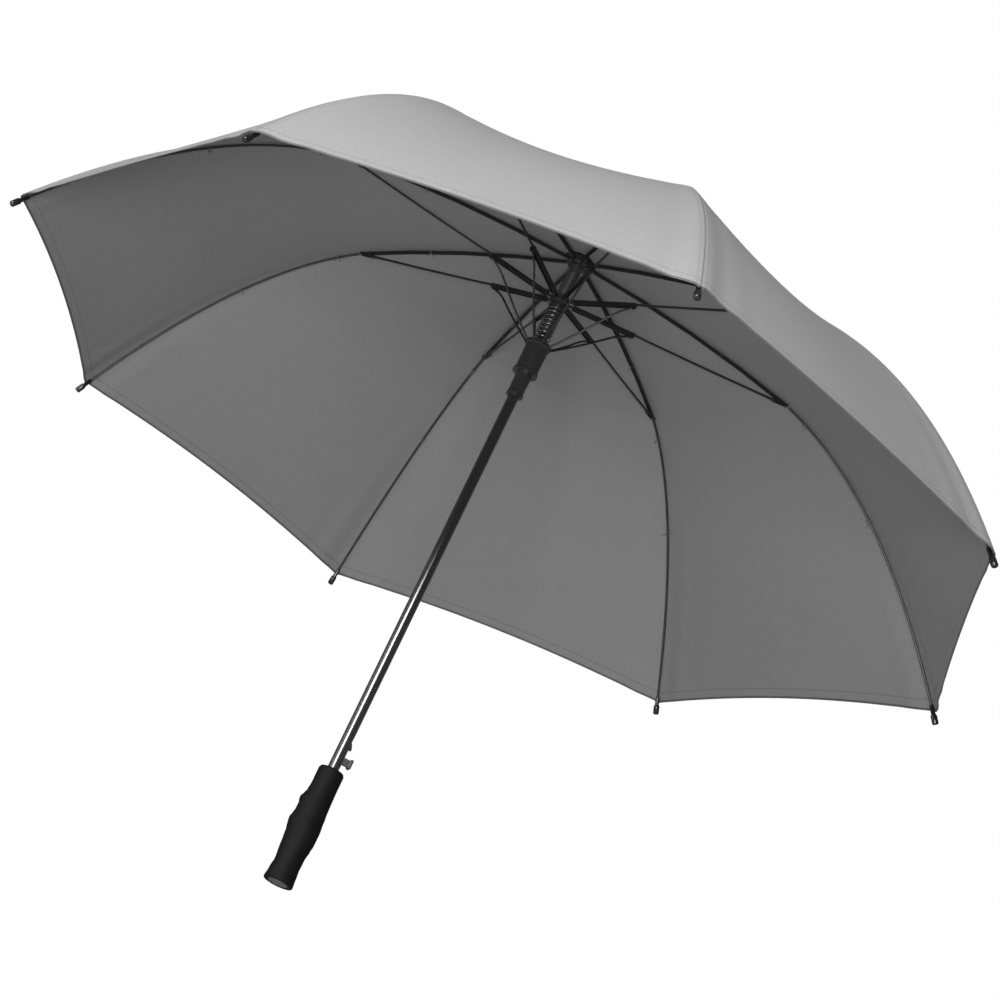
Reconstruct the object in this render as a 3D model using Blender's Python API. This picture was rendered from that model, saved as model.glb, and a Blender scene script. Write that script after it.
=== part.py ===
"""Automatic stick umbrella, shown open: shaft, crown, eight hinged ribs, stretchers, struts, canopy."""

import math

import bmesh
import bpy
from mathutils import Matrix, Vector

# Overall layout, metres. The flat handle end is at z = 0 and the shaft runs up +Z.
RIBS = 8
STEP = 2 * math.pi / RIBS
TIP_R, TIP_Z = 0.650, 0.5885
RING_R = 0.011
NOTCH_Z, HUB_Z = 0.8875, 0.8284
JOINT_R, JOINT_Z = 0.3188, 0.85795
STRUT_ALONG, STRUT_DROP = 0.0905, 0.0026
RUNNER_RING_R, RUNNER_RING_Z = 0.0145, 0.7602
SHAFT_R, SHAFT_WALL, SHAFT_FROM, SHAFT_TO = 0.0070, 0.0010, 0.0095, 0.922
FIT = 0.0074
GRIP_LEN = 0.1507
RUNNER_LOW, CUP_Z = 0.6852, 0.7180
BUTTON_Z, CATCH_Z = 0.1672, 0.1824
CROWN_Z, FERRULE_TOP = 0.8940, 0.9750
CANOPY_LIFT, CANOPY_THICK, CANOPY_IN = 0.0042, 0.0010, 0.0200

for old in list(bpy.data.objects):
    bpy.data.objects.remove(old, do_unlink=True)


def material(name, colour, metallic, rough, sheen=0.0):
    mat = bpy.data.materials.new(name)
    mat.use_nodes = True
    shader = mat.node_tree.nodes["Principled BSDF"]
    shader.inputs["Base Color"].default_value = (*colour, 1)
    shader.inputs["Metallic"].default_value = metallic
    shader.inputs["Roughness"].default_value = rough
    shader.inputs["Sheen Weight"].default_value = sheen
    return mat


FABRIC = material("grey_pongee", (0.23, 0.23, 0.235), 0.0, 0.8, 0.3)
RIB_MAT = material("black_fibreglass", (0.012, 0.012, 0.013), 0.0, 0.35)
CHANNEL_MAT = material("black_coated_channel", (0.014, 0.014, 0.015), 0.4, 0.32)
STRETCHER_MAT = material("stretcher_black", (0.013, 0.013, 0.014), 0.4, 0.3)
STRUT_MAT = material("strut_black_wire", (0.015, 0.015, 0.016), 0.5, 0.3)
CAP_MAT = material("gloss_black_nylon", (0.008, 0.008, 0.008), 0.0, 0.15)
SHAFT_MAT = material("gloss_black_shaft", (0.008, 0.008, 0.009), 0.5, 0.12)
RUNNER_MAT = material("runner_black_nylon", (0.016, 0.016, 0.017), 0.0, 0.3)
HUB_MAT = material("hub_black_nylon", (0.018, 0.018, 0.019), 0.0, 0.35)
NOTCH_MAT = material("notch_black_nylon", (0.020, 0.020, 0.021), 0.0, 0.4)
SPRING_MAT = material("dark_spring_steel", (0.10, 0.10, 0.105), 1.0, 0.25)
SLEEVE_MAT = material("ribbed_sleeve", (0.03, 0.03, 0.032), 0.1, 0.4)
GRIP_MAT = material("matte_black_rubber", (0.03, 0.03, 0.031), 0.0, 0.6)
DISC_MAT = material("grip_end_grey", (0.07, 0.07, 0.072), 0.0, 0.5)
BUTTON_MAT = material("button_black", (0.03, 0.03, 0.03), 0.0, 0.4)
CATCH_MAT = material("catch_steel", (0.08, 0.08, 0.08), 0.8, 0.35)
FERRULE_MAT = material("ferrule_black", (0.012, 0.012, 0.013), 0.0, 0.25)
CROWN_MAT = material("crown_cap_black", (0.02, 0.02, 0.02), 0.0, 0.4)


def link(name, mesh, mat, smooth=True, angle=0.0, origin=(0, 0, 0)):
    """Adds a named object; a copy on a rib is turned by angle, with its origin on its hinge."""
    obj = bpy.data.objects.new(name, mesh)
    bpy.context.scene.collection.objects.link(obj)
    obj.location = Matrix.Rotation(angle, 3, "Z") @ Vector(origin)
    if mat and not mesh.materials:
        mesh.materials.append(mat)
    if smooth and mesh.users == 1:
        for face in mesh.polygons:
            face.use_smooth = True
        mesh.set_sharp_from_angle(angle=math.radians(38))
    if angle:
        obj.rotation_euler.z = angle
    return obj


def mesh_of(name, points, faces):
    mesh = bpy.data.meshes.new(name)
    mesh.from_pydata([tuple(p) for p in points], [], faces)
    bm = bmesh.new()
    bm.from_mesh(mesh)
    bmesh.ops.recalc_face_normals(bm, faces=bm.faces)
    bm.to_mesh(mesh)
    bm.free()
    return mesh


def lathe(name, profile, segments=32):
    """A closed profile of (radius, z) turned about Z."""
    n = len(profile)
    points = []
    for s in range(segments):
        a = 2 * math.pi * s / segments
        points += [(r * math.cos(a), r * math.sin(a), z) for r, z in profile]
    faces = []
    for s in range(segments):
        t = (s + 1) % segments
        for i in range(n):
            j = (i + 1) % n
            faces.append((s * n + i, t * n + i, t * n + j, s * n + j))
    return mesh_of(name, points, faces)


def turned(name, profile, segments=32):
    """An open profile of (radius, z), from axis to axis, turned about Z."""
    points, faces = [(0, 0, profile[0][1]), (0, 0, profile[-1][1])], []
    ring = profile[1:-1]
    n = len(ring)
    for s in range(segments):
        a = 2 * math.pi * s / segments
        points += [(r * math.cos(a), r * math.sin(a), z) for r, z in ring]
    for s in range(segments):
        t = (s + 1) % segments
        b, c = 2 + s * n, 2 + t * n
        faces.append((0, c, b))
        faces.append((1, b + n - 1, c + n - 1))
        for i in range(n - 1):
            faces.append((b + i, c + i, c + i + 1, b + i + 1))
    return mesh_of(name, points, faces)


def frames(path):
    """Tangent and upward normal of a path in the XZ plane."""
    out = []
    for i in range(len(path)):
        a, b = path[max(i - 1, 0)], path[min(i + 1, len(path) - 1)]
        t = Vector((b[0] - a[0], 0, b[1] - a[1])).normalized()
        out.append((t, Vector((-t.z, 0, t.x))))
    return out


def sweep(name, path, section):
    """A closed section of (sideways, up) points carried along a path of (x, z)."""
    points, n = [], len(section)
    for (x, z), (_, up) in zip(path, frames(path)):
        points += [Vector((x, 0, z)) + Vector((0, s, 0)) + up * h for s, h in section]
    faces = [tuple(range(n)), tuple(range(len(points) - n, len(points)))]
    for k in range(len(path) - 1):
        for i in range(n):
            j = (i + 1) % n
            faces.append((k * n + i, k * n + j, (k + 1) * n + j, (k + 1) * n + i))
    return mesh_of(name, points, faces)


def box(name, low, high):
    c = [(x, y, z) for x in (low[0], high[0]) for y in (low[1], high[1]) for z in (low[2], high[2])]
    faces = [(0, 1, 3, 2), (4, 6, 7, 5), (0, 4, 5, 1), (2, 3, 7, 6), (0, 2, 6, 4), (1, 5, 7, 3)]
    return mesh_of(name, c, faces)


def bar(name, a, b, half_width, half_height):
    """A straight block along the line a to b of the XZ plane."""
    return sweep(
        name,
        [a, b],
        [(-half_width, -half_height), (half_width, -half_height), (half_width, half_height),
        (-half_width, half_height)],
    )


def pin(name, at, radius, half, segments=6):
    """A cylinder across the XZ plane, centred on the point at."""
    points = []
    for y in (-half, half):
        for s in range(segments):
            a = 2 * math.pi * (s + 0.5) / segments
            points.append((at[0] + radius * math.cos(a), y, at[1] + radius * math.sin(a)))
    faces = [tuple(range(segments)), tuple(range(segments, 2 * segments))]
    for s in range(segments):
        t = (s + 1) % segments
        faces.append((s, t, segments + t, segments + s))
    return mesh_of(name, points, faces)


def combine(base, others, operation):
    """The evaluated Boolean of a mesh with others; the helpers are removed."""
    obj = bpy.data.objects.new("base", base)
    bpy.context.scene.collection.objects.link(obj)
    helpers = []
    for i, mesh in enumerate(others):
        helper = bpy.data.objects.new("helper", mesh)
        bpy.context.scene.collection.objects.link(helper)
        helper.hide_render = True
        helpers.append(helper)
        mod = obj.modifiers.new(f"cut{i}", "BOOLEAN")
        mod.operation, mod.solver, mod.object = operation, "EXACT", helper
    bpy.context.view_layer.update()
    graph = bpy.context.evaluated_depsgraph_get()
    made = bpy.data.meshes.new_from_object(obj.evaluated_get(graph))
    for helper in helpers + [obj]:
        bpy.data.objects.remove(helper, do_unlink=True)
    bm = bmesh.new()
    bm.from_mesh(made)
    bmesh.ops.recalc_face_normals(bm, faces=bm.faces)
    bm.to_mesh(made)
    bm.free()
    made.materials.clear()
    return made


def join(base, others):
    return combine(base, others, "UNION")


def cut(base, others):
    return combine(base, others, "DIFFERENCE")


def spun(mesh, angle):
    copy = mesh.copy()
    copy.transform(Matrix.Rotation(angle, 4, "Z"))
    return copy


def bezier(a, b, c, steps):
    pts = []
    for k in range(steps + 1):
        t = k / steps
        pts.append(tuple((1 - t) ** 2 * a[i] + 2 * t * (1 - t) * b[i] + t * t * c[i] for i in (0, 1)))
    return pts


def meet(a, slope_a, b, slope_b):
    """Where the line from a falling at slope_a meets the line into b falling at slope_b."""
    ca, sa, cb, sb = math.cos(slope_a), math.sin(slope_a), math.cos(slope_b), math.sin(slope_b)
    dr, dz = b[0] - a[0], a[1] - b[1]
    s = (dr * sb - dz * cb) / (ca * sb - sa * cb)
    return (a[0] + s * ca, a[1] - s * sa)


def ahead(a, b, d):
    """The point d along the way from a to b."""
    length = math.hypot(b[0] - a[0], b[1] - a[1])
    return (a[0] + (b[0] - a[0]) * d / length, a[1] + (b[1] - a[1]) * d / length)


NOTCH, HUB, JOINT, TIP = (RING_R, NOTCH_Z), (RING_R, HUB_Z), (JOINT_R, JOINT_Z), (TIP_R, TIP_Z)
inner_line = bezier(NOTCH, meet(NOTCH, math.radians(0.5), JOINT, math.radians(11)), JOINT, 4)
outer_line = bezier(JOINT, meet(JOINT, math.radians(15), TIP, math.radians(54)), TIP, 6)

# Ribs: a channel from the crown to the joint, then a round rod to the tip.
U_SECTION = [(-1.9, -1.7), (-1.2, -1.7), (-1.2, 1.0), (1.2, 1.0), (1.2, -1.7), (1.9, -1.7), (1.9, 1.7),
    (-1.9, 1.7)]
start, stop = ahead(NOTCH, inner_line[1], 0.0070), ahead(JOINT, inner_line[-2], 0.0042)
channel = sweep("channel", [start] + inner_line[1:-1] + [stop],
    [(s / 1000, h / 1000) for s, h in U_SECTION])
root_eye = join(bar("eye", NOTCH, ahead(NOTCH, inner_line[1], 0.016), 0.00112, 0.0013),
    [pin("eye", NOTCH, 0.0021, 0.00115, 8)])
root_eye = cut(root_eye, [pin("hole", NOTCH, 0.0011, 0.004, 6)])
cheek_a = join(bar("cheek", JOINT, ahead(JOINT, inner_line[-2], 0.012), 0.00037, 0.0014),
    [pin("cheek", JOINT, 0.0018, 0.0004)])
cheek_b = cheek_a.copy()
cheek_a.transform(Matrix.Translation((0, 0.00165, 0)))
cheek_b.transform(Matrix.Translation((0, -0.00165, 0)))
end_pin = pin("pin", JOINT, 0.0008, 0.0040)
channel = join(channel, [root_eye, cheek_a, cheek_b, end_pin])

rod_start = ahead(JOINT, outer_line[1], 0.0050)
ROUND5 = [(math.cos(a), math.sin(a)) for a in (math.pi / 10 + 0.4 * math.pi * k for k in range(5))]
rod_end = ahead(TIP, outer_line[-2], 0.0134)
rod = sweep("rod", [rod_start] + outer_line[1:-1] + [rod_end],
    [(0.0015 * c, 0.0015 * s) for c, s in ROUND5])
tongue = join(bar("tongue", JOINT, ahead(JOINT, outer_line[1], 0.0085), 0.00087, 0.0012),
    [pin("tongue", JOINT, 0.0020, 0.0009, 8)])
tongue = cut(tongue, [pin("hole", JOINT, 0.0011, 0.004, 6)])
rod = join(rod, [tongue])

cap = turned("cap", [(0.0, -0.013), (0.0027, -0.013), (0.0028, -0.001), (0.0040, 0.0005), (0.0040, 0.0100),
                     (0.0034, 0.0120), (0.0, 0.0124)], 10)
back = Vector((outer_line[-1][0] - outer_line[-2][0], 0,
    outer_line[-1][1] - outer_line[-2][1])).normalized()
cap.transform(Matrix.Translation((TIP_R, 0, TIP_Z)) @ back.to_track_quat("Z", "Y").to_matrix().to_4x4())

# Stretchers: a deep channel from the upper runner to the strut pivot, then a thin rod and a fork.
along = Vector((JOINT_R - RING_R, 0, JOINT_Z - HUB_Z)).normalized()
drop = Vector((along.z, 0, -along.x))
pivot = Vector((RING_R, 0, HUB_Z)) + along * STRUT_ALONG + drop * STRUT_DROP
STRUT_PIVOT = (pivot.x, pivot.z)
DEEP = [(-2.7, -2.8), (-1.9, -2.8), (-1.9, 2.0), (1.9, 2.0), (1.9, -2.8), (2.7, -2.8), (2.7, 2.8),
    (-2.7, 2.8)]
DEEP = [(s / 1000, h / 1000) for s, h in DEEP]
sleeve = sweep("sleeve", [ahead(HUB, JOINT, 0.0078), ahead(HUB, JOINT, STRUT_ALONG + 0.0035)], DEEP)
hub_eye = join(bar("eye", HUB, ahead(HUB, JOINT, 0.020), 0.00112, 0.0012),
    [pin("eye", HUB, 0.0021, 0.00115, 8)])
hub_eye = cut(hub_eye, [pin("hole", HUB, 0.0011, 0.004, 6)])
tie_bar = bar("tie", ahead(HUB, JOINT, 0.010), ahead(HUB, JOINT, 0.020), 0.0022, 0.0011)
tie_bar.transform(Matrix.Translation(-drop * 0.0014))
lugs = []
for side in (-1, 1):
    lug = pin("lug", STRUT_PIVOT, 0.0019, 0.0004)
    lug.transform(Matrix.Translation((0, side * 0.00235, 0)))
    lugs.append(lug)
lugs.append(pin("pin", STRUT_PIVOT, 0.0007, 0.0030))
wire_from, wire_to = ahead(HUB, JOINT, STRUT_ALONG - 0.006), ahead(JOINT, HUB, 0.0185)
up = -drop
wire = sweep("wire", [(wire_from[0] + up.x * 0.0022, wire_from[1] + up.z * 0.0022),
                      (STRUT_PIVOT[0] + along.x * 0.02, STRUT_PIVOT[1] + along.z * 0.02 + 0.0036),
                      ahead(HUB, JOINT, 0.20), wire_to],
             [(0.0017 * c, 0.0017 * s) for c, s in ROUND5])
fork_web = bar("web", ahead(JOINT, HUB, 0.0207), ahead(JOINT, HUB, 0.0163), 0.0033, 0.0016)
prongs = []
for side in (-1, 1):
    prong = join(bar("prong", JOINT, ahead(JOINT, HUB, 0.0198), 0.00037, 0.0013),
        [pin("prong", JOINT, 0.0019, 0.0004)])
    prong = cut(prong, [pin("hole", JOINT, 0.0011, 0.004)])
    prong.transform(Matrix.Translation((0, side * 0.0028, 0)))
    prongs.append(prong)
stretcher = join(sleeve, [hub_eye, tie_bar, *lugs, wire, fork_web, *prongs])

# Struts: bent wires from the stretcher down to the lower runner, with an eye at each end.
RUNNER_EYE = (RUNNER_RING_R, RUNNER_RING_Z)
chord = Vector((RUNNER_EYE[0] - STRUT_PIVOT[0], 0, RUNNER_EYE[1] - STRUT_PIVOT[1]))
inward = Vector((chord.z, 0, -chord.x)).normalized() * -1
if inward.z < 0:
    inward = -inward
bend = [(0.0, 0.0), (0.06, 0.0015), (0.18, 0.0030), (0.34, 0.0024), (0.60, 0.0006), (1.0, 0.0)]
strut_path = [(STRUT_PIVOT[0] + chord.x * f + inward.x * h,
    STRUT_PIVOT[1] + chord.z * f + inward.z * h) for f, h in bend]
body_path = [ahead(strut_path[0], strut_path[1], 0.0016)] + strut_path[1:-1] + [ahead(strut_path[-1],
    strut_path[-2], 0.0016)]
strut = sweep("strut", body_path, [(0.0015 * c, 0.0015 * s) for c, s in ROUND5])
strut = join(strut, [pin("eye", STRUT_PIVOT, 0.0019, 0.0010, 8),
    pin("eye", RUNNER_EYE, 0.0019, 0.0010, 8)])
strut = cut(strut, [pin("hole", STRUT_PIVOT, 0.0010, 0.003), pin("hole", RUNNER_EYE, 0.0010, 0.003)])


# Canopy: eight panels, each centred on its rib, so the seam between two lies along the middle of a gore.
def rib_height(r):
    """Height of the rib line at radius r, and its downward slope."""
    line = inner_line[:-1] + outer_line
    for (r0, z0), (r1, z1) in zip(line, line[1:]):
        if r <= r1:
            return z0 + (z1 - z0) * (r - r0) / (r1 - r0), math.atan2(z0 - z1, r1 - r0)
    return line[-1][1], math.atan2(line[-2][1] - line[-1][1], line[-1][0] - line[-2][0])


def panel_point(u, v, lift):
    """u runs from crown to hem, v from -1 to 1 across the panel, where it meets its neighbour at mid-gore."""
    half = STEP / 2
    w = abs(v)
    arch = 2 * w - w * w
    r = (CANOPY_IN + SPAN * u) * (1 - 0.011 * u ** 4 * arch)
    z, slope = rib_height(r)
    out = CANOPY_LIFT + lift - (0.0125 * math.sin(math.pi * u ** 0.8) + 0.0015 * u * u) * arch
    share = w * (1 - 0.00018 / (r * math.cos(half) * math.sin(half)))
    x, y = r * (1 - (1 - math.cos(half) ** 2) * share), r * math.cos(half) * math.sin(half) * share
    turn = math.atan2(y, x)
    push = out * math.sin(slope)
    x, y = x + push * math.cos(turn), y + push * math.sin(turn)
    return Vector((x, math.copysign(y, v) if v else 0.0, z + out * math.cos(slope)))


SPAN = TIP_R - 0.002 - CANOPY_IN
US = [0.0] + [(p[0] - CANOPY_IN) / SPAN for p in inner_line[1:] + outer_line[1:-1]] + [1.0]
VS = [-1, -0.5, 0, 0.5, 1]
points = [panel_point(u, v, lift) for lift in (CANOPY_THICK, 0.0) for u in US for v in VS]
nv, layer = len(VS), len(US) * len(VS)
faces = []
for i in range(len(US) - 1):
    for j in range(nv - 1):
        a = i * nv + j
        faces.append((a, a + 1, a + nv + 1, a + nv))
        faces.append((layer + a, layer + a + nv, layer + a + nv + 1, layer + a + 1))
rim = [j for j in range(nv)] + [i * nv + nv - 1 for i in range(1, len(US))]
rim += [(len(US) - 1) * nv + j for j in range(nv - 2, -1, -1)] + [i * nv for i in range(len(US) - 2, 0,
    -1)]
for a, b in zip(rim, rim[1:] + rim[:1]):
    faces.append((a, b, layer + b, layer + a))
panel = mesh_of("panel", points, faces)

for label, mesh, mat, hinge in (
    ("rib_channel", channel, CHANNEL_MAT, NOTCH),
    ("rib_rod", rod, RIB_MAT, JOINT),
    ("rib_tip_cap", cap, CAP_MAT, JOINT),
    ("stretcher", stretcher, STRETCHER_MAT, JOINT),
    ("strut", strut, STRUT_MAT, STRUT_PIVOT),
    ("canopy_panel", panel, FABRIC, NOTCH),
):
    origin = (hinge[0], 0, hinge[1])
    mesh.transform(Matrix.Translation(-Vector(origin)))
    for k in range(RIBS):
        link(f"{label}_{k + 1}", mesh, mat, angle=STEP * k, origin=origin)

# Shaft and the fittings fixed to it.
shaft = lathe("shaft", [(SHAFT_R - SHAFT_WALL, SHAFT_FROM), (SHAFT_R, SHAFT_FROM), (SHAFT_R, SHAFT_TO),
                        (SHAFT_R - SHAFT_WALL, SHAFT_TO)], 24)
shaft = cut(shaft, [box("slot", (0.003, -0.0030, CATCH_Z - 0.0015), (0.012, 0.0030, CATCH_Z + 0.0145)),
                    box("slot", (0.003, -0.0036, BUTTON_Z - 0.0055), (0.012, 0.0036, BUTTON_Z + 0.0055))])
link("shaft_tube", shaft, SHAFT_MAT)


def ring(name, radius, z, wire, segments=24):
    return lathe(name, [(radius + wire * math.cos(a), z + wire * math.sin(a)) for a in
                        (math.pi / 4 + math.pi * k / 2 for k in range(4))], segments)


def slots(z_low, z_high, r_from, r_to, half):
    made = []
    for k in range(RIBS):
        made.append(spun(box("slot", (r_from, -half, z_low), (r_to, half, z_high)), STEP * k))
    return made


notch = lathe("notch", [(FIT, NOTCH_Z - 0.0048), (0.0138, NOTCH_Z - 0.0048), (0.0145, NOTCH_Z - 0.004),
                        (0.0145, NOTCH_Z + 0.0048), (0.0138, NOTCH_Z + 0.0055), (FIT, NOTCH_Z + 0.0055)],
                        16)
notch = cut(notch, slots(NOTCH_Z - 0.012, NOTCH_Z + 0.0030, 0.0086, 0.020, 0.0017))
notch = join(notch, [ring("wire", RING_R, NOTCH_Z, 0.0007)])
link("top_notch", notch, NOTCH_MAT)

ridges = []
z = HUB_Z + 0.0062
while z < NOTCH_Z - 0.0275:
    ridges += [(0.0078, z), (0.0084, z + 0.0010), (0.0084, z + 0.0035), (0.0078, z + 0.0045)]
    z += 0.0090
buffer_profile = [(FIT, HUB_Z + 0.0062), *ridges, (0.0081, z + 0.001), (0.0081, NOTCH_Z - 0.0060),
    (FIT, NOTCH_Z - 0.0060)]
link("buffer_sleeve", lathe("buffer", buffer_profile, 12), SLEEVE_MAT)

crown = lathe("crown",
    [(FIT, CROWN_Z), (0.0240, CROWN_Z), (0.0250, CROWN_Z + 0.0008), (0.0200, CROWN_Z + 0.0026),
                        (0.0120, CROWN_Z + 0.0040), (FIT, CROWN_Z + 0.0042)], 20)
link("crown_cap", crown, CROWN_MAT)
ferrule = turned("ferrule",
    [(0.0, SHAFT_TO + 0.0004), (FIT, SHAFT_TO + 0.0004), (FIT, CROWN_Z + 0.0046),
    (0.0105, CROWN_Z + 0.0046),
                             (0.0108, CROWN_Z + 0.0060), (0.0092, CROWN_Z + 0.0100),
                             (0.0086, CROWN_Z + 0.0300),
                             (0.0078, FERRULE_TOP - 0.0150), (0.0072, FERRULE_TOP - 0.0030),
                             (0.0060, FERRULE_TOP), (0.0, FERRULE_TOP)], 18)
link("ferrule", ferrule, FERRULE_MAT)

# Upper runner: slotted hub with a guide neck inside the opening spring.
hub = lathe("hub", [(FIT, HUB_Z - 0.050), (0.0085, HUB_Z - 0.050), (0.0085, HUB_Z - 0.0080),
    (0.0126, HUB_Z - 0.0080),
                    (0.0126, HUB_Z - 0.0040), (0.0135, HUB_Z - 0.0034), (0.0135, HUB_Z + 0.0040),
                    (0.0128, HUB_Z + 0.0048),
                    (FIT, HUB_Z + 0.0048)], 16)
hub = cut(hub, slots(HUB_Z - 0.0030, HUB_Z + 0.012, 0.0086, 0.020, 0.0017))
hub = join(hub, [ring("wire", RING_R, HUB_Z, 0.0007)])
link("upper_runner", hub, HUB_MAT)

# Lower runner: cup for the spring, a narrower sleeve, and a window for the catch.
RT = RUNNER_RING_Z + 0.0025
lower = lathe("lower",
    [(FIT, RUNNER_LOW), (0.0110, RUNNER_LOW), (0.0110, RUNNER_LOW + 0.0030), (0.0101, RUNNER_LOW + 0.0056),
                        (0.0101, CUP_Z), (0.0163, CUP_Z), (0.0163, CUP_Z + 0.0028),
                        (0.0148, CUP_Z + 0.0040), (0.0148, RT - 0.0056),
                        (0.0169, RT - 0.0044), (0.0169, RT), (0.0122, RT), (0.0122, CUP_Z + 0.0048),
                        (FIT, CUP_Z + 0.0048)], 20)
lower = cut(lower, slots(RUNNER_RING_Z - 0.0024, RUNNER_RING_Z + 0.010, 0.0125, 0.0200, 0.0019)
            + [box("window", (0.004, -0.0034, RUNNER_LOW + 0.0056), (0.014, 0.0034, RUNNER_LOW + 0.0200))])
lower = join(lower, [ring("wire", RUNNER_RING_R, RUNNER_RING_Z, 0.0007)])
link("lower_runner", lower, RUNNER_MAT)

# Opening spring between the two runners.
turns, per, wire_r, coil_r = 14.5, 8, 0.00085, 0.0103
z_low, z_high = CUP_Z + 0.0051 + wire_r, HUB_Z - 0.0083 - wire_r
count = int(turns * per)
pts, fcs = [], []
for s in range(count + 1):
    f = s / count
    a = 2 * math.pi * turns * f
    z = z_low + (z_high - z_low) * f
    for q in range(4):
        b = 2 * math.pi * q / 4
        r = coil_r + wire_r * math.cos(b)
        pts.append((r * math.cos(a), r * math.sin(a), z + wire_r * math.sin(b)))
for s in range(count):
    for q in range(4):
        t = (q + 1) % 4
        fcs.append((s * 4 + q, s * 4 + t, s * 4 + 4 + t, s * 4 + 4 + q))
fcs += [tuple(range(4)), tuple(range(count * 4, count * 4 + 4))]
link("opening_spring", mesh_of("spring", pts, fcs), SPRING_MAT)

# Grip: rings whose radius differs between the finger side (-X) and the palm side (+X).
FINGER = [(0, 17.8), (1.2, 18.5), (12, 17.2), (25, 15.9), (45, 17.6), (60, 18.9), (67, 20.4), (72, 21.4),
    (76.5, 21.9), (80, 20.7),
          (88, 19.3), (96, 19.3), (100.5, 20.6), (104, 20.6), (108, 18.6), (114, 16.7), (124, 15.8),
          (144, 15.9), (146.6, 14.6)]
PALM = [(0, 17.8), (1.2, 18.5), (12, 17.5), (24, 16.6), (38, 16.8), (48, 18.3), (57, 19.4), (72, 19.4),
    (85, 18.2), (100, 17.0),
        (112, 16.5), (124, 16.1), (144, 16.0), (146.6, 14.7)]


def at(table, mm):
    for (a, ra), (b, rb) in zip(table, table[1:]):
        if mm <= b:
            f = (mm - a) / (b - a)
            f = f * f * (3 - 2 * f)
            return (ra + (rb - ra) * f) / 1000
    return table[-1][1] / 1000


levels = [0, 1.2, 12, 25, 38, 50, 60, 67, 72, 76.5, 80, 88, 96, 100.5, 104, 109, 116, 124, 144, 146.6]
seg = 18
pts, fcs = [], []
for mm in levels:
    finger, palm = at(FINGER, mm), at(PALM, mm)
    side = 0.45 * min(finger, palm + 0.001) + 0.55 * palm
    for s in range(seg):
        a = 2 * math.pi * s / seg
        c = math.cos(a)
        r = side + (palm - side) * max(c, 0) ** 2 + (finger - side) * max(-c, 0) ** 2
        pts.append((r * c, r * math.sin(a), mm / 146.6 * GRIP_LEN))
for i in range(len(levels) - 1):
    for s in range(seg):
        t = (s + 1) % seg
        fcs.append((i * seg + s, i * seg + t, i * seg + seg + t, i * seg + seg + s))
fcs += [tuple(range(seg)), tuple(range(len(pts) - seg, len(pts)))]
grip = mesh_of("grip", pts, fcs)
bore = turned("bore", [(0, 0.0068), (FIT, 0.0068), (FIT, 0.20), (0, 0.20)], 16)
socket = turned("socket", [(0, -0.01), (0.0136, -0.01), (0.0136, 0.0070), (0, 0.0070)], 20)
link("grip", cut(grip, [bore, socket]), GRIP_MAT)
link("grip_end_cap", turned("end",
    [(0, 0.0), (0.0122, 0.0), (0.0126, 0.0006), (0.0126, 0.0066), (0, 0.0066)], 20), DISC_MAT)

# Release button and the spring catch behind it, on the palm side above the grip.
button = box("stem", (0.0058, -0.0031, BUTTON_Z - 0.0042), (0.0145, 0.0031, BUTTON_Z + 0.0042))
head = box("head", (0.0140, -0.0048, BUTTON_Z - 0.0062), (0.0182, 0.0048, BUTTON_Z + 0.0062))
bm = bmesh.new()
bm.from_mesh(head)
bmesh.ops.bevel(bm, geom=list(bm.edges), offset=0.0012, segments=1, affect="EDGES")
bm.to_mesh(head)
bm.free()
link("release_button", join(button, [head]), BUTTON_MAT)
strip = sweep("strip", [(0.0045, BUTTON_Z - 0.0080), (0.0045, CATCH_Z + 0.0170)],
    [(-0.0024, -0.0004), (0.0024, -0.0004), (0.0024, 0.0004), (-0.0024, 0.0004)])
nose_outline = [(0.0046, CATCH_Z - 0.0002), (0.0097, CATCH_Z), (0.0099, CATCH_Z + 0.0018),
    (0.0080, CATCH_Z + 0.0070), (0.0046, CATCH_Z + 0.0118)]
nose_pts = [(x, y, zz) for y in (-0.0022, 0.0022) for x, zz in nose_outline]
nose_faces = [tuple(range(5)),
    tuple(range(5, 10))] + [(i, (i + 1) % 5, 5 + (i + 1) % 5, 5 + i) for i in range(5)]
link("runner_catch", join(strip, [mesh_of("nose", nose_pts, nose_faces)]), CATCH_MAT)
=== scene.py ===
"""Looks for the open stick umbrella: cloth, rods, wires, spring, grip, materials, light and camera."""

import math

import bpy
import numpy as np
from mathutils import Matrix, Vector


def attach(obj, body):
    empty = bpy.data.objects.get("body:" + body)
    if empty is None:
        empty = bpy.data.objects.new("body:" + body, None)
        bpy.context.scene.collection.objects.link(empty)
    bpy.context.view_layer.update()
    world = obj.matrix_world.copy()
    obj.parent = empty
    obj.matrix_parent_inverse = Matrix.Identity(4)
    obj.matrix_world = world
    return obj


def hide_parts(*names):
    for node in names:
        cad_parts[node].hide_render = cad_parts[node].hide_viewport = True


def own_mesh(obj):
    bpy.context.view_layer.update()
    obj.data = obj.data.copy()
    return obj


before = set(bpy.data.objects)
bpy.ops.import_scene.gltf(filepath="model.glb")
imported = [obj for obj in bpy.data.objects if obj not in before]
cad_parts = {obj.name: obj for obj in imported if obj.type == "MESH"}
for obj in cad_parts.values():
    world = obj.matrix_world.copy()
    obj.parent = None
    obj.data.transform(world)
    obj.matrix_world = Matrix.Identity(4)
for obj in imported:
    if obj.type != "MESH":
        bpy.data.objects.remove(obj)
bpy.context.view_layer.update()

RIBS, STEP = 8, math.pi / 4
TIP_R, TIP_Z = 0.650, 0.5885
NOTCH, HUB, JOINT, TIP = (0.011, 0.8875), (0.011, 0.8284), (0.3188, 0.85795), (TIP_R, TIP_Z)
HUB_Z, CUP_Z = HUB[1], 0.7180
CANOPY_IN, LIFT, THICK = 0.0200, 0.0042, 0.0008
HEM_R, HEM_STRETCH = TIP_R - 0.002, 1.25
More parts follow.
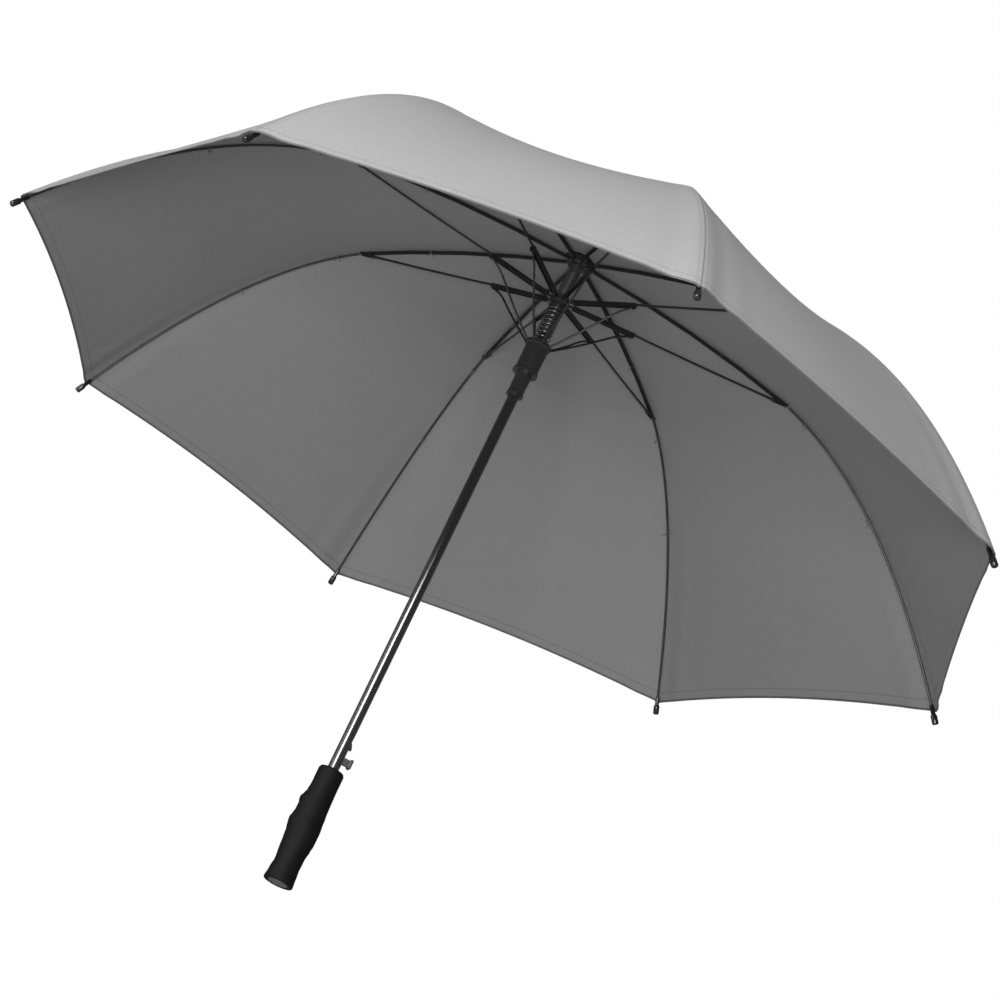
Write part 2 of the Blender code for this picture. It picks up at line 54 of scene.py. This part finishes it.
ROD_R, STRUT_R = 0.00165, 0.00140
WEAVE_PITCH, STITCH_PITCH = 0.0016, 0.0042


# ---------------------------------------------------------------- materials
def new_material(name, colour, metallic=0.0, rough=0.5, **more):
    mat = bpy.data.materials.new(name)
    mat.use_nodes = True
    sh = mat.node_tree.nodes["Principled BSDF"]
    sh.inputs["Base Color"].default_value = (*colour, 1)
    sh.inputs["Metallic"].default_value = metallic
    sh.inputs["Roughness"].default_value = rough
    for key, value in more.items():
        sh.inputs[key.replace("_", " ")].default_value = value
    return mat, mat.node_tree, sh


def node(tree, kind, **values):
    made = tree.nodes.new(kind)
    for key, value in values.items():
        if key.startswith("in_"):
            made.inputs[key[3:].replace("_", " ")].default_value = value
        else:
            setattr(made, key, value)
    return made


def math_node(tree, op, a, b=None, clamp=False):
    made = tree.nodes.new("ShaderNodeMath")
    made.operation, made.use_clamp = op, clamp
    for i, v in enumerate((a, b)):
        if v is None:
            continue
        if isinstance(v, (int, float)):
            made.inputs[i].default_value = v
        else:
            tree.links.new(v, made.inputs[i])
    return made.outputs[0]


def mottled(name, colour, metallic, rough, scale=60.0, amount=0.15, bump=0.02, bump_scale=400.0, **more):
    """A Principled material whose colour and roughness vary a little, with a fine grain."""
    mat, tree, sh = new_material(name, colour, metallic, rough, **more)
    coord = node(tree, "ShaderNodeTexCoord")
    noise = node(tree, "ShaderNodeTexNoise", in_Scale=scale, in_Detail=4.0)
    tree.links.new(coord.outputs["Object"], noise.inputs["Vector"])
    ramp = node(tree, "ShaderNodeMapRange")
    ramp.inputs["To Min"].default_value = 1 - amount
    ramp.inputs["To Max"].default_value = 1 + amount
    tree.links.new(noise.outputs["Fac"], ramp.inputs["Value"])
    mix = node(tree, "ShaderNodeMix", data_type="RGBA", blend_type="MULTIPLY")
    mix.inputs["Factor"].default_value = 1.0
    colours = {sock.name: sock for sock in mix.inputs if sock.type == "RGBA"}
    colours["A"].default_value = (*colour, 1)
    tree.links.new(ramp.outputs["Result"], colours["B"])
    out = [sock for sock in mix.outputs if sock.type == "RGBA"][0]
    tree.links.new(out, sh.inputs["Base Color"])
    tree.links.new(math_node(tree, "MULTIPLY", ramp.outputs["Result"], rough), sh.inputs["Roughness"])
    grain = node(tree, "ShaderNodeTexNoise", in_Scale=bump_scale, in_Detail=3.0)
    tree.links.new(coord.outputs["Object"], grain.inputs["Vector"])
    bump_node = node(tree, "ShaderNodeBump")
    bump_node.inputs["Strength"].default_value = bump
    bump_node.inputs["Distance"].default_value = 0.0005
    tree.links.new(grain.outputs["Fac"], bump_node.inputs["Height"])
    tree.links.new(bump_node.outputs["Normal"], sh.inputs["Normal"])
    return mat


def cloth_material(name, colour, stitched):
    """Plain weave; the UV map holds metres across the panel from its rib (U) and from the hem (V)."""
    mat, tree, sh = new_material(name, colour, 0.0, 0.72, Sheen_Weight=0.04, Sheen_Roughness=0.5)
    uv = node(tree, "ShaderNodeUVMap", uv_map="Cloth")
    part = node(tree, "ShaderNodeSeparateXYZ")
    tree.links.new(uv.outputs["UV"], part.inputs[0])
    across, hem = part.outputs[0], part.outputs[1]
    far = math_node(tree, "ABSOLUTE", across)

    def wave(value, period):
        return math_node(tree, "SINE", math_node(tree, "MULTIPLY", value, 2 * math.pi / period))

    weave = math_node(tree, "MULTIPLY", wave(across, WEAVE_PITCH), wave(hem, WEAVE_PITCH))
    coord = node(tree, "ShaderNodeTexCoord")
    speck = node(tree, "ShaderNodeTexNoise", in_Scale=420.0, in_Detail=2.0)
    tree.links.new(coord.outputs["Object"], speck.inputs["Vector"])
    broad = node(tree, "ShaderNodeTexNoise", in_Scale=7.0, in_Detail=3.0)
    tree.links.new(coord.outputs["Object"], broad.inputs["Vector"])
    tone = math_node(tree, "ADD", math_node(tree, "MULTIPLY", speck.outputs["Fac"], 0.36),
                     math_node(tree, "MULTIPLY", broad.outputs["Fac"], 0.12))
    tone = math_node(tree, "ADD", tone, math_node(tree, "MULTIPLY", weave, 0.03))
    tone = math_node(tree, "ADD", tone, 0.76)

    def band(value, centre, half):
        off = math_node(tree, "ABSOLUTE", math_node(tree, "SUBTRACT", value, centre))
        return math_node(tree, "LESS_THAN", off, half)

    dark = math_node(tree, "MULTIPLY", band(hem, 0.0, 0.0024), 0.62)
    fold = math_node(tree, "MULTIPLY", band(hem, 0.0105, 0.0005), 0.30)
    dark = math_node(tree, "ADD", dark, fold)
    if stitched:
        dash = math_node(tree, "GREATER_THAN", wave(hem, STITCH_PITCH), -0.35)
        top = math_node(tree, "MULTIPLY", math_node(tree, "MULTIPLY", band(far, 0.0052, 0.00055), dash),
            0.26)
        seam = math_node(tree, "MULTIPLY", band(far, 0.0, 0.0008), 0.45)
        dark = math_node(tree, "ADD", dark, math_node(tree, "ADD", top, seam))
    tone = math_node(tree, "MULTIPLY", tone, math_node(tree, "SUBTRACT", 1.0, dark, clamp=True))
    rgb = node(tree, "ShaderNodeVectorMath", operation="SCALE")
    rgb.inputs[0].default_value = colour
    tree.links.new(tone, rgb.inputs["Scale"])
    tree.links.new(rgb.outputs[0], sh.inputs["Base Color"])
    height = math_node(tree, "ADD", math_node(tree, "MULTIPLY", weave, 0.5),
                       math_node(tree, "MULTIPLY", dark, -1.5))
    bump_node = node(tree, "ShaderNodeBump")
    bump_node.inputs["Strength"].default_value = 0.25
    bump_node.inputs["Distance"].default_value = 0.0003
    tree.links.new(height, bump_node.inputs["Height"])
    tree.links.new(bump_node.outputs["Normal"], sh.inputs["Normal"])
    return mat


OUTER = cloth_material("cloth_outer", (0.25, 0.25, 0.252), True)
# The underside is the same cloth as the top face, but with a darker grey: painted shade for the inside of the
# canopy.
INNER_PAINTED_SHADE = cloth_material("cloth_inner_painted_shade", (0.150, 0.150, 0.152), False)
ROD = mottled("rod_black", (0.016, 0.016, 0.017), 0.0, 0.34, 30, 0.2, 0.05)
CHANNEL = mottled("channel_black", (0.018, 0.018, 0.019), 0.35, 0.36, 40, 0.2, 0.05)
STRETCH = mottled("stretcher_black_coat", (0.015, 0.015, 0.016), 0.35, 0.30, 40, 0.2, 0.05)
WIRE = mottled("strut_wire_black", (0.020, 0.020, 0.021), 0.5, 0.28, 50, 0.2, 0.05)
CAP = mottled("cap_gloss_black", (0.006, 0.006, 0.006), 0.0, 0.14, 80, 0.2, 0.01)
SHAFT = mottled("shaft_gloss_black", (0.006, 0.006, 0.007), 0.0, 0.24, 25, 0.2, 0.01,
                Specular_IOR_Level=0.9, Coat_Weight=1.0, Coat_Roughness=0.18)
RUNNER = mottled("runner_black", (0.016, 0.016, 0.0165), 0.0, 0.30, 40, 0.2, 0.05)
HUBM = mottled("hub_black", (0.018, 0.018, 0.019), 0.0, 0.38, 40, 0.2, 0.05)
STEEL = mottled("spring_steel_dark", (0.16, 0.16, 0.165), 1.0, 0.22, 80, 0.2, 0.02)
SLEEVE = mottled("sleeve_black", (0.035, 0.035, 0.037), 0.1, 0.42, 60, 0.2, 0.05)
RUBBER = mottled("grip_rubber", (0.004, 0.004, 0.0042), 0.0, 0.6, 35, 0.12, 0.12, 900,
                 Specular_IOR_Level=0.08)
DISC = mottled("grip_disc", (0.075, 0.075, 0.077), 0.0, 0.5, 60, 0.12, 0.1)
BUTTON = mottled("button_plastic", (0.034, 0.034, 0.035), 0.0, 0.42, 60, 0.12, 0.08)
TIE = mottled("tie_cloth", (0.10, 0.10, 0.102), 0.0, 0.8, 200, 0.2, 0.2)
NOTCHM = mottled("crown_plastic", (0.022, 0.022, 0.023), 0.0, 0.38, 60, 0.15, 0.05)


def paint(name, mat):
    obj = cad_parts[name]
    obj.data.materials.clear()
    obj.data.materials.append(mat)


RIB_FINISH = {"rib_channel": CHANNEL, "rib_rod": ROD, "rib_tip_cap": CAP, "stretcher": STRETCH,
              "strut": WIRE, "canopy_panel": OUTER}
CENTRE_FINISH = {"shaft_tube": SHAFT, "top_notch": NOTCHM, "buffer_sleeve": SLEEVE, "crown_cap": NOTCHM,
                 "ferrule": CAP, "grip": RUBBER, "grip_end_cap": DISC, "upper_runner": HUBM,
                 "opening_spring": STEEL, "lower_runner": RUNNER, "release_button": BUTTON,
                 "runner_catch": STEEL}
for k in range(1, RIBS + 1):
    for name, mat in RIB_FINISH.items():
        paint(f"{name}_{k}", mat)
for name, mat in CENTRE_FINISH.items():
    paint(name, mat)


# ---------------------------------------------------------------- shapes
def add(name, points, faces, mats, body, turn=0.0, smooth=True, angle=40, replaces=(), index=None):
    mesh = bpy.data.meshes.new(name)
    spin = Matrix.Rotation(turn, 3, "Z")
    mesh.from_pydata([tuple(spin @ Vector(p)) for p in points], [], faces)
    for mat in mats:
        mesh.materials.append(mat)
    if index is not None:
        mesh.polygons.foreach_set("material_index", index)
    mesh.update()
    if smooth:
        mesh.polygons.foreach_set("use_smooth", [True] * len(mesh.polygons))
        mesh.set_sharp_from_angle(angle=math.radians(angle))
    obj = bpy.data.objects.new(name, mesh)
    bpy.context.scene.collection.objects.link(obj)
    if body:
        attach(obj, body)
    if replaces:
        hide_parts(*replaces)
    return obj


def tube(path, radius, sides=10, closed_ends=True):
    """A round tube along 3-D points; radius is one number or one per point."""
    pts = [Vector(p) for p in path]
    radii = radius if hasattr(radius, "__len__") else [radius] * len(pts)
    points, faces = [], []
    side = None
    for i, p in enumerate(pts):
        t = (pts[min(i + 1, len(pts) - 1)] - pts[max(i - 1, 0)]).normalized()
        if side is None:
            side = t.cross(Vector((0, 1, 0) if abs(t.y) < 0.9 else (1, 0, 0))).normalized()
        side = (side - t * side.dot(t)).normalized()
        up = t.cross(side)
        for q in range(sides):
            a = 2 * math.pi * q / sides
            points.append(p + radii[i] * (math.cos(a) * side + math.sin(a) * up))
    for i in range(len(pts) - 1):
        for q in range(sides):
            r = (q + 1) % sides
            faces.append((i * sides + q, (i + 1) * sides + q, (i + 1) * sides + r, i * sides + r))
    if closed_ends:
        faces += [tuple(range(sides)), tuple(range(len(points) - 1, len(points) - 1 - sides, -1))]
    return points, faces


def lathe(profile, seg=64, closed=True):
    """(radius, z) points turned about Z, anticlockwise in the RZ plane."""
    n, points, faces = len(profile), [], []
    for s in range(seg):
        a = 2 * math.pi * s / seg
        points += [(r * math.cos(a), r * math.sin(a), z) for r, z in profile]
    for s in range(seg):
        t = (s + 1) % seg
        for i in range(n if closed else n - 1):
            j = (i + 1) % n
            faces.append((s * n + i, t * n + i, t * n + j, s * n + j))
    return points, faces


def merged(parts):
    points, faces = [], []
    for p, f in parts:
        base = len(points)
        points += [tuple(v) for v in p]
        faces += [tuple(base + i for i in face) for face in f]
    return points, faces


def bezier(a, b, c, n):
    steps = [k / n for k in range(n + 1)]
    return [tuple((1 - t) ** 2 * a[i] + 2 * t * (1 - t) * b[i] + t * t * c[i] for i in (0, 1)) for t in steps]


def meet(a, sa, b, sb):
    dr, dz = b[0] - a[0], a[1] - b[1]
    s = (dr * math.sin(sb) - dz * math.cos(sb)) / math.sin(sb - sa)
    return (a[0] + s * math.cos(sa), a[1] - s * math.sin(sa))


inner_line = bezier(NOTCH, meet(NOTCH, math.radians(0.5), JOINT, math.radians(11)), JOINT, 24)
outer_line = bezier(JOINT, meet(JOINT, math.radians(15), TIP, math.radians(54)), TIP, 48)
LINE = np.array(inner_line[:-1] + outer_line)
SLOPE = np.arctan2(-np.gradient(LINE[:, 1]), np.gradient(LINE[:, 0]))
SLOPE = np.convolve(np.pad(SLOPE, 3, mode="edge"), np.ones(7) / 7, "valid")


def rib_at(r):
    return np.interp(r, LINE[:, 0], LINE[:, 1]), np.interp(r, LINE[:, 0], SLOPE)


def cloth_point(r0, v, lift):
    """A point of the canopy on rib 1: r0 is the radius along the rib, v runs -1 to 1 across the gore."""
    half = STEP / 2
    u = (r0 - CANOPY_IN) / (HEM_R - CANOPY_IN)
    w = abs(v)
    arch = 2 * w - w * w
    r = r0 * (1 - 0.011 * u ** 4 * arch)
    z, slope = rib_at(r)
    pucker = 0.0026 * u ** 4 * math.sin(10 * math.pi * w) * math.exp(-7 * w)
    drape = 0.0022 * math.sin(2.2 * math.pi * u + 0.6) * arch * arch
    out = LIFT + lift - (0.0125 * math.sin(math.pi * u ** 0.8) + 0.0015 * u * u) * arch + pucker + drape
    x, y = r * (1 - (1 - math.cos(half) ** 2) * w), r * math.cos(half) * math.sin(half) * w
    turn, push = math.atan2(y, x), out * math.sin(slope)
    x, y = x + push * math.cos(turn), y + push * math.sin(turn)
    return np.array([x, math.copysign(y, v) if v else 0.0, z + out * math.cos(slope)])


def cloth_normal(r, v):
    """Outward normal of the whole canopy, so that two cloths shade alike where they meet."""
    if abs(v) <= 0.02:
        slope = rib_at(r)[1]
        return np.array([math.sin(slope), 0, math.cos(slope)])
    down = cloth_point(min(r + 1e-4, TIP_R), v, 0) - cloth_point(r - 1e-4, v, 0)
    if abs(v) > 0.999:
        across = np.array([-math.sin(STEP / 2) * math.copysign(1, v), math.cos(STEP / 2), 0.0])
    else:
        across = cloth_point(r, v + 1e-3, 0) - cloth_point(r, v - 1e-3, 0)
    normal = np.cross(down, across)
    normal /= np.linalg.norm(normal)
    return normal if normal[2] >= 0 else -normal


def cloth(name, r_from, r_to, nr, nv, body, k, replaces=()):
    rs = np.linspace(r_from, r_to, nr + 1)
    vs = np.sign(np.linspace(-1, 1, nv + 1)) * np.abs(np.linspace(-1, 1, nv + 1)) ** 1.25
    top = np.array([[cloth_point(r, v, THICK) for v in vs] for r in rs])
    low = np.array([[cloth_point(r, v, 0.0) for v in vs] for r in rs])
    pts = [tuple(p) for p in top.reshape(-1, 3)] + [tuple(p) for p in low.reshape(-1, 3)]
    n, layer = nv + 1, (nr + 1) * (nv + 1)
    faces, index = [], []
    for i in range(nr):
        for j in range(nv):
            a = i * n + j
            faces.append((a, a + n, a + n + 1, a + 1))
            index.append(0)
            faces.append((layer + a, layer + a + 1, layer + a + n + 1, layer + a + n))
            index.append(1)
    rim = list(range(n)) + [i * n + nv for i in range(1, nr + 1)]
    rim += [nr * n + j for j in range(nv - 1, -1, -1)] + [i * n for i in range(nr - 1, 0, -1)]
    for a, b in zip(rim, rim[1:] + rim[:1]):
        faces.append((a, b, layer + b, layer + a))
        index.append(0)
    # The lower face (index 1) gets the darker underside grey, which is painted shade.
    obj = add(name, pts, faces, (OUTER, INNER_PAINTED_SHADE), None, STEP * (k - 1), index=index)
    mesh = obj.data
    loops = np.empty(len(mesh.loops), np.int32)
    mesh.loops.foreach_get("vertex_index", loops)
    flat = [(cloth_point(r, v, 0.0)[1], (HEM_R - r) * HEM_STRETCH) for r in rs for v in vs] * 2
    mesh.uv_layers.new(name="Cloth").data.foreach_set("uv", np.array(flat, np.float32)[loops].ravel())
    spin = np.array(Matrix.Rotation(STEP * (k - 1), 3, "Z"))
    outward = [spin @ cloth_normal(r, v) for r in rs for v in vs]
    normals = outward + [-n for n in outward]
    nl = np.array(normals)[loops]
    poly_of = np.repeat(np.arange(len(mesh.polygons)), [p.loop_total for p in mesh.polygons])
    rim_face = np.arange(len(mesh.polygons)) >= 2 * nr * nv
    face_n = np.array([p.normal for p in mesh.polygons])
    nl = np.where(rim_face[poly_of][:, None], face_n[poly_of], nl)
    mesh.normals_split_custom_set([tuple(v) for v in nl])
    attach(obj, body)
    if replaces:
        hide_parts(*replaces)
    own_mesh(obj)
    return obj


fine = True
for k in range(1, RIBS + 1):
    cloth(f"cloth_crown_{k}", CANOPY_IN, JOINT[0], 22 if fine else 12, 32 if fine else 16, f"rib_{k}", k,
          replaces=(f"canopy_panel_{k}",))
    cloth(f"cloth_rim_{k}", JOINT[0], HEM_R, 30 if fine else 16, 32 if fine else 16, f"rib_outer_{k}", k)

# ---------------------------------------------------------------- rods, caps, struts, ties
along = Vector((JOINT[0] - HUB[0], 0, JOINT[1] - HUB[1])).normalized()
drop = Vector((along.z, 0, -along.x))
S = Vector((HUB[0], 0, HUB[1])) + along * 0.0905 + drop * 0.0026
W = Vector((0.0145, 0, 0.7602))
chord = W - S
inward = Vector((-chord.z, 0, chord.x)).normalized()
if inward.z < 0:
    inward = -inward
bend = np.array([(0, 0), (0.03, 0.0010), (0.08, 0.0024), (0.14, 0.0034), (0.22, 0.0036), (0.32, 0.0028),
                 (0.45, 0.0016), (0.6, 0.0007), (0.8, 0.0001), (1, 0)])
ts = np.linspace(0, 1, 29)
hs = np.interp(ts, bend[:, 0], bend[:, 1])
hs = np.convolve(np.pad(hs, 1, mode="edge"), np.ones(3) / 3, "valid")
hs[0] = hs[-1] = 0
strut_path = [S + chord * t + inward * h for t, h in zip(ts, hs)]
(x0, z0), (x1, z1) = outer_line[-2:]
end_dir = Vector((x1 - x0, 0, z1 - z0)).normalized()
to_tip = Matrix.Translation((TIP_R, 0, TIP_Z)) @ end_dir.to_track_quat("Z", "Y").to_matrix().to_4x4()


def eye_plate(centre, radius, half):
    pts, n = [], 16
    for y in (-half, half):
        for q in range(n):
            a = 2 * math.pi * q / n
            pts.append((centre[0] + radius * math.cos(a), y, centre[2] + radius * math.sin(a)))
    faces = [tuple(range(n)), tuple(range(2 * n - 1, n - 1, -1))]
    faces += [(q, n + q, n + (q + 1) % n, (q + 1) % n) for q in range(n)]
    return pts, faces


def tie(r):
    """A knotted loop of thread round the rib at radius r, with two loose tails below it."""
    z, slope = (float(q) for q in rib_at(r))
    t = Vector((math.cos(slope), 0, -math.sin(slope)))
    upv = Vector((math.sin(slope), 0, math.cos(slope)))
    centre = Vector((r, 0, z))

    def spot(down, along, across):
        return centre - upv * down + t * along + Vector((0, across, 0))

    loop = [spot(-(2.2 * math.cos(a) + 1.0) / 1000, 0.0004 * math.sin(3 * a), 2.5 * math.sin(a) / 1000)
            for a in np.linspace(0, 2 * math.pi, 21)]
    tail_a = [spot(0.0012, 0.0006, 0), spot(0.0038, 0.0022, 0.0012), spot(0.0072, 0.0030, 0.0028)]
    tail_b = [spot(0.0012, 0, 0), spot(0.0034, -0.0016, -0.0014), spot(0.0060, -0.0036, -0.0022)]
    return merged([tube(path, 0.0006, 6) for path in (loop, tail_a, tail_b)])


CAP_PROFILE = [(0.0, -0.013), (0.0023, -0.013), (0.0027, -0.0124), (0.0028, -0.001), (0.0036, 0.0),
               (0.0040, 0.0008), (0.0040, 0.0102), (0.0038, 0.0112), (0.0030, 0.0121), (0.0, 0.0124)]
TIES = (("joint", 0.352, "rib_outer"), ("mid", 0.215, "rib"), ("low", 0.478, "rib_outer"))
for k in range(1, RIBS + 1):
    turn = STEP * (k - 1)
    rod_pts = [(x, 0, z) for x, z in outer_line[1:]]
    rod_pts[0] = (JOINT[0] + 0.004, 0, JOINT[1] - 0.0012)
    rod_pts[-1] = (x1 - end_dir.x * 0.0133, 0, z1 - end_dir.z * 0.0133)
    rod_pts = [p for p in rod_pts[:-1] if p[0] < rod_pts[-1][0] - 0.002] + [rod_pts[-1]]
    rod = merged([tube(rod_pts, ROD_R, 12), eye_plate((JOINT[0], 0, JOINT[1]), 0.0020, 0.0009)])
    add(f"rod_fine_{k}", *rod, (ROD,), f"rib_outer_{k}", turn, replaces=(f"rib_rod_{k}",))
    p, f = lathe(CAP_PROFILE, 32, closed=False)
    add(f"cap_fine_{k}", [to_tip @ Vector(q) for q in p], f, (CAP,), f"rib_outer_{k}", turn,
        replaces=(f"rib_tip_cap_{k}",))
    eyes = [eye_plate(centre, 0.0019, 0.0010) for centre in (S, W)]
    strut = merged([tube(strut_path, STRUT_R, 10), *eyes])
    add(f"strut_fine_{k}", *strut, (WIRE,), f"strut_arm_{k}", turn, replaces=(f"strut_{k}",))
    for tag, r, body in TIES:
        add(f"tie_{tag}_{k}", *tie(r), (TIE,), f"{body}_{k}", turn)


# ---------------------------------------------------------------- springs, runners
def helix(radius, wire, z0, z1, turns, per=24):
    n = int(turns * per)
    path = []
    for s in range(n + 1):
        f = s / n
        a = 2 * math.pi * turns * f
        path.append((radius * math.cos(a), radius * math.sin(a), z0 + (z1 - z0) * f))
    return tube(path, wire, 8)


coils = helix(0.0103, 0.00085, CUP_Z + 0.0062, HUB_Z - 0.0091, 15.5)
spring = add("spring_fine", *coils, (STEEL,), "upper_runner_body", replaces=("opening_spring",), angle=60)
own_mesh(spring)
z = HUB_Z + 0.0062
ring_prof = [(0.0074, z)]
while z < 0.870:
    ring_prof += [(0.00785, z + 0.0002), (0.0084, z + 0.0008), (0.0084, z + 0.0014), (0.00785, z + 0.0020)]
    z += 0.0024
ring_prof += [(0.0080, z + 0.001), (0.0080, 0.8815), (0.0074, 0.8815)]
add("sleeve_fine", *lathe(ring_prof, 40), (SLEEVE,), "umbrella_shaft", replaces=("buffer_sleeve",),
    angle=50)
neck = [(0.0074, HUB_Z - 0.050)]
z = HUB_Z - 0.0495
while z < HUB_Z - 0.010:
    neck += [(0.0081, z), (0.0086, z + 0.0006), (0.0086, z + 0.0014), (0.0081, z + 0.0020)]
    z += 0.0026
neck += [(0.0081, HUB_Z - 0.0080), (0.0074, HUB_Z - 0.0080)]
add("neck_fine", *lathe(neck, 40), (HUBM,), "upper_runner_body", angle=50)

# ---------------------------------------------------------------- grip
# (height, radius) in millimetres on the finger side and on the palm side
FINGER = [(0, 17.8), (1.2, 18.5), (12, 17.2), (25, 15.9), (45, 17.6), (60, 18.9), (67, 20.4), (72, 21.4),
          (76.5, 21.9), (80, 20.7), (88, 19.3), (96, 19.3), (100.5, 20.6), (104, 20.6), (108, 18.6),
          (114, 16.7), (124, 15.8), (144, 15.9), (146.6, 14.6)]
PALM = [(0, 17.8), (1.2, 18.5), (12, 17.5), (24, 16.6), (38, 16.8), (48, 18.3), (57, 19.4), (72, 19.4),
        (85, 18.2), (100, 17.0), (112, 16.5), (124, 16.1), (144, 16.0), (146.6, 14.7)]
GRIP_LEN, TABLE_LEN, BORE_R = 0.1507, 146.6, 0.0074


def at(table, mm):
    for (a, ra), (b, rb) in zip(table, table[1:]):
        if mm <= b:
            f = (mm - a) / (b - a)
            f = f * f * (3 - 2 * f)
            return ra + (rb - ra) * f
    return table[-1][1]


seg = 72
levels = [0.0, 0.3, 0.7, 1.2] + list(np.arange(2.4, 143.5, 1.2)) + [144.2, 145.0, 145.7, 146.2, 146.6]
pts, fcs = [], []
for mm in levels:
    finger, palm = at(FINGER, mm), at(PALM, mm)
    side = 0.45 * min(finger, palm + 1) + 0.55 * palm
    groove = 0.35 * math.exp(-((mm - 128.0) / 0.55) ** 2) + 0.35 * math.exp(-((mm - 22.5) / 0.55) ** 2)
    for s in range(seg):
        a = 2 * math.pi * s / seg
        c = math.cos(a)
        r = side + (palm - side) * max(c, 0) ** 2 + (finger - side) * max(-c, 0) ** 2 - groove
        pts.append((r * c / 1000, r * math.sin(a) / 1000, mm / TABLE_LEN * GRIP_LEN))
for i in range(len(levels) - 1):
    for s in range(seg):
        t = (s + 1) % seg
        fcs.append((i * seg + s, i * seg + t, i * seg + seg + t, i * seg + seg + s))
# the recess in the end and the bore at the top
base, top0 = len(pts), (len(levels) - 1) * seg
for radius, zz in ((0.0148, 0.0), (0.0136, 0.0008), (0.0136, 0.0070), (BORE_R, 0.0070)):
    for s in range(seg):
        a = 2 * math.pi * s / seg
        pts.append((radius * math.cos(a), radius * math.sin(a), zz))
for s in range(seg):
    t = (s + 1) % seg
    fcs.append((s, base + s, base + t, t))
    for m in range(base, base + 3 * seg, seg):
        fcs.append((m + s, m + seg + s, m + seg + t, m + t))
ring = len(pts)
for s in range(seg):
    a = 2 * math.pi * s / seg
    pts.append((BORE_R * math.cos(a), BORE_R * math.sin(a), GRIP_LEN))
for s in range(seg):
    t = (s + 1) % seg
    fcs.append((top0 + s, top0 + t, ring + t, ring + s))
    fcs.append((ring + s, ring + t, base + 3 * seg + t, base + 3 * seg + s))
add("grip_fine", pts, fcs, (RUBBER,), "umbrella_shaft", replaces=("grip",), angle=50)

# ---------------------------------------------------------------- stage, light, camera
scene = bpy.context.scene
scene.view_settings.view_transform = "Standard"
scene.view_settings.look = "None"
world = bpy.data.worlds.new("studio")
scene.world = world
world.use_nodes = True
tree = world.node_tree
back = tree.nodes["Background"]
path = tree.nodes.new("ShaderNodeLightPath")
mixed = tree.nodes.new("ShaderNodeMapRange")
mixed.inputs["To Min"].default_value = 0.17
mixed.inputs["To Max"].default_value = 1.0
tree.links.new(path.outputs["Is Camera Ray"], mixed.inputs["Value"])
tree.links.new(mixed.outputs["Result"], back.inputs["Strength"])
back.inputs["Color"].default_value = (1, 1, 1, 1)

floor_mat, _, _ = new_material("pale_floor", (0.80, 0.80, 0.80), 0.0, 0.9)
floor = bpy.data.meshes.new("floor")
floor.from_pydata([(-8, -8, -1.2), (8, -8, -1.2), (8, 8, -1.2), (-8, 8, -1.2)], [], [(0, 1, 2, 3)])
floor.materials.append(floor_mat)
floor_obj = bpy.data.objects.new("studio_floor", floor)
scene.collection.objects.link(floor_obj)


def area_light(name, place, target, size, power):
    data = bpy.data.lights.new(name, "AREA")
    data.shape, data.size, data.energy = "SQUARE", size, power
    obj = bpy.data.objects.new(name, data)
    obj.location = place
    obj.rotation_euler = (Vector(target) - Vector(place)).to_track_quat("-Z", "Y").to_euler()
    scene.collection.objects.link(obj)
    return obj


area_light("key_front", (-2.8, -3.5, 2.2), (0, 0, 0.6), 1.6, 222)
area_light("low_front", (-0.9, -3.3, -0.6), (0, 0, 0.5), 1.2, 112)
strip = area_light("strip_left", (-3.2, -0.7, 0.6), (0, 0, 0.6), 0.9, 70)
strip.data.shape, strip.data.size_y = "RECTANGLE", 3.0
strip.visible_diffuse = False

AZ, EL, ROLL = math.radians(-3.82), math.radians(-17.10), math.radians(27.89)
behind = Vector((math.sin(AZ) * math.cos(EL), -math.cos(AZ) * math.cos(EL), math.sin(EL)))
right = (-behind).cross(Vector((0, 0, 1))).normalized()
up = right.cross(-behind)
r2 = math.cos(ROLL) * right + math.sin(ROLL) * up
u2 = -math.sin(ROLL) * right + math.cos(ROLL) * up
cam = bpy.data.cameras.new("camera")
cam.sensor_fit, cam.sensor_width, cam.lens = "HORIZONTAL", 36.0, 36.0 * 2.7200
cam.shift_x, cam.shift_y = 0.4052, 0.0503
cam_obj = bpy.data.objects.new("camera", cam)
place = Vector((0, 0, TIP_Z)) + TIP_R * (behind * 5.141 + r2 * -0.7323 + u2 * -0.1685)
turn = Matrix((r2, u2, behind)).transposed().to_4x4()
cam_obj.matrix_world = Matrix.Translation(place) @ turn
scene.collection.objects.link(cam_obj)
scene.camera = cam_obj
